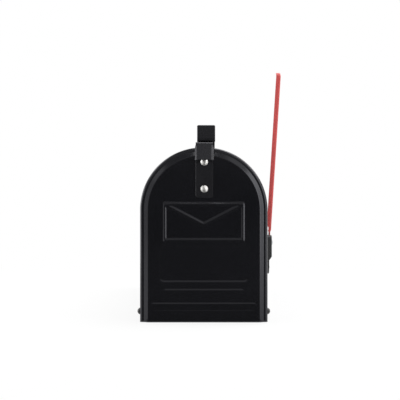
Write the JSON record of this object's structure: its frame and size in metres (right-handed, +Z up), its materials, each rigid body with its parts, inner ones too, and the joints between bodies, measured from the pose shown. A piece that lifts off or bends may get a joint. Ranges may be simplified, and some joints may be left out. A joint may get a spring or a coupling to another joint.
{
  "type": "rural mailbox",
  "caption": "Arched sheet-steel rural mailbox with a drop-down front door, finger pull, roof catch, board-mount floor and a pivoting red signal flag.",
  "frame": {"origin": "middle of the floor panel's underside, where a mounting board seats", "axes": "+Z up, -Y out of the door, +X towards the side with the flag"},
  "size_m": [0.1877, 0.4963, 0.326],
  "materials": {
    "black_enamel": "semi-gloss black powder coat with a faint orange peel",
    "red_enamel": "satin red paint",
    "dark_rivet": "rivet painted over with the box",
    "nickel": "bright nickel plate",
    "zinc": "dull zinc plate",
    "black_plastic": "fine-grained moulded plastic",
    "nylon": "natural nylon"
  },
  "bodies": {
    "box": {"body_shell": "black_enamel", "floor_panel": "black_enamel", "rear_panel": "black_enamel", "hinge_rivets": "dark_rivet", "hinge_washers": "nylon", "roof_catch": "black_enamel", "catch_rivets": "dark_rivet", "flag_bracket": "black_plastic", "flag_bracket_rivet": "dark_rivet", "flag_pivot_screw": "zinc", "flag_pivot_washer": "zinc", "flag_pivot_nut": "zinc", "flag_friction_washer": "nylon"},
    "door": {"door_panel": "black_enamel", "door_pull_strap": "black_enamel", "strap_screws": "nickel", "strap_washers": "zinc", "strap_nuts": "zinc"},
    "flag": {"flag_blade": "red_enamel"}
  },
  "joints": [
    {"name": "door_hinge", "type": "hinge", "parent": "box", "child": "door", "pos_m": [0, -0.229, -0.0048], "axis": [1, 0, 0], "range_deg": [0, 90]},
    {"name": "flag_pivot", "type": "hinge", "parent": "box", "child": "flag", "pos_m": [0.0868, -0.19, 0.082], "axis": [-1, 0, 0], "range_deg": [0, 90]}
  ]
}
